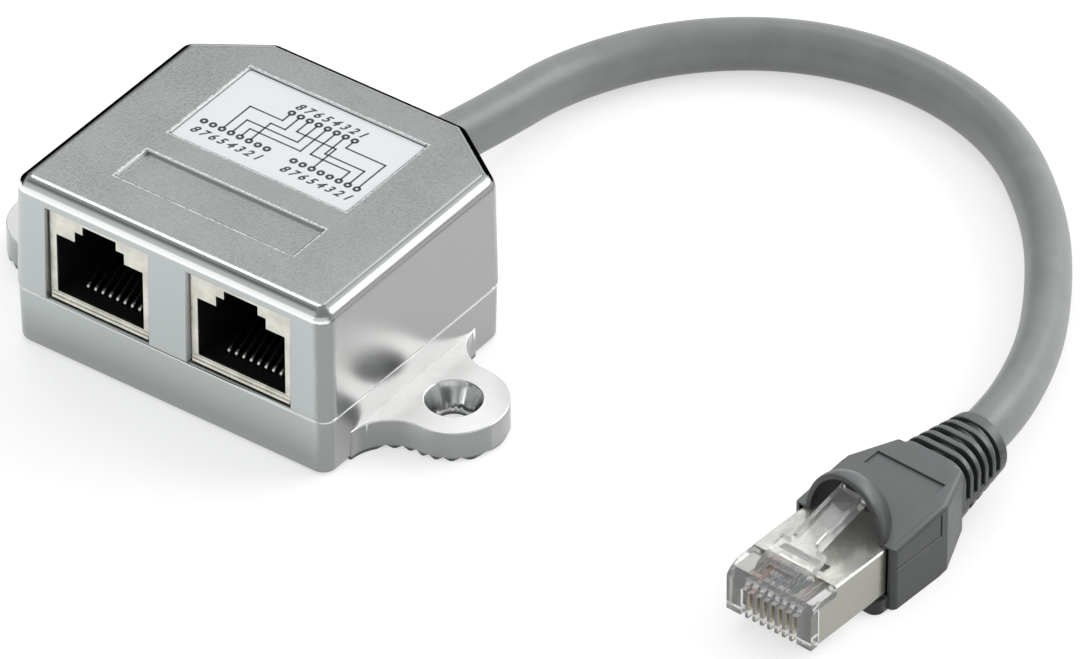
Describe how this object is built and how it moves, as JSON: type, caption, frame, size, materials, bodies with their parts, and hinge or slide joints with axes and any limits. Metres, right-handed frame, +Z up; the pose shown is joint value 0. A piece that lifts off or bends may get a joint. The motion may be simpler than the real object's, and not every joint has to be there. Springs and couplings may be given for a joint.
{
  "type": "rj45 splitter adapter",
  "caption": "Small two-part metallised case with two network jacks in its front, fixing ears and a short fixed lead with a booted plug.",
  "frame": {"origin": "on the table, under the middle of the case", "axes": "+X left to right along the front of the case, +Y from front to back, +Z up"},
  "size_m": [0.1184, 0.097, 0.0223],
  "materials": {
    "case": "satin metallised coat",
    "label_film": "satin film",
    "board": "coated laminate",
    "tinned_sheet": "tin plated",
    "insert": "moulded",
    "gold_contact": "gold plated",
    "screw_steel": "zinc plated",
    "clamp_plastic": "moulded",
    "jacket": "satin jacket",
    "clear_plastic": "clear moulded",
    "boot_plastic": "soft moulded, satin",
    "core_white_orange": "insulated core",
    "core_orange": "insulated core",
    "core_white_green": "insulated core",
    "core_blue": "insulated core",
    "core_white_blue": "insulated core",
    "core_green": "insulated core",
    "core_white_brown": "insulated core",
    "core_brown": "insulated core"
  },
  "bodies": {
    "root": {"top_cover": "case", "base_shell": "case", "label": "label_film", "circuit_board": "board", "jack_left_shield": "tinned_sheet", "jack_left_housing": "insert", "jack_left_contact_1": "gold_contact", "jack_left_contact_2": "gold_contact", "jack_left_contact_3": "gold_contact", "jack_left_contact_4": "gold_contact", "jack_left_contact_5": "gold_contact", "jack_left_contact_6": "gold_contact", "jack_left_contact_7": "gold_contact", "jack_left_contact_8": "gold_contact", "jack_right_shield": "tinned_sheet", "jack_right_housing": "insert", "jack_right_contact_1": "gold_contact", "jack_right_contact_2": "gold_contact", "jack_right_contact_3": "gold_contact", "jack_right_contact_4": "gold_contact", "jack_right_contact_5": "gold_contact", "jack_right_contact_6": "gold_contact", "jack_right_contact_7": "gold_contact", "jack_right_contact_8": "gold_contact", "case_screws": "screw_steel", "cable_clamp": "clamp_plastic", "clamp_screws": "screw_steel", "cable": "jacket", "board_core_1": "core_white_orange", "board_core_2": "core_orange", "board_core_3": "core_white_green", "board_core_4": "core_blue", "board_core_5": "core_white_blue", "board_core_6": "core_green", "board_core_7": "core_white_brown", "board_core_8": "core_brown", "plug_core_1": "core_white_orange", "plug_core_2": "core_orange", "plug_core_3": "core_white_green", "plug_core_4": "core_blue", "plug_core_5": "core_white_blue", "plug_core_6": "core_green", "plug_core_7": "core_white_brown", "plug_core_8": "core_brown", "plug_contact_1": "gold_contact", "plug_contact_2": "gold_contact", "plug_contact_3": "gold_contact", "plug_contact_4": "gold_contact", "plug_contact_5": "gold_contact", "plug_contact_6": "gold_contact", "plug_contact_7": "gold_contact", "plug_contact_8": "gold_contact", "plug_body": "clear_plastic", "plug_shield": "tinned_sheet", "plug_load_bar": "clear_plastic", "boot": "boot_plastic"}
  },
  "joints": []
}
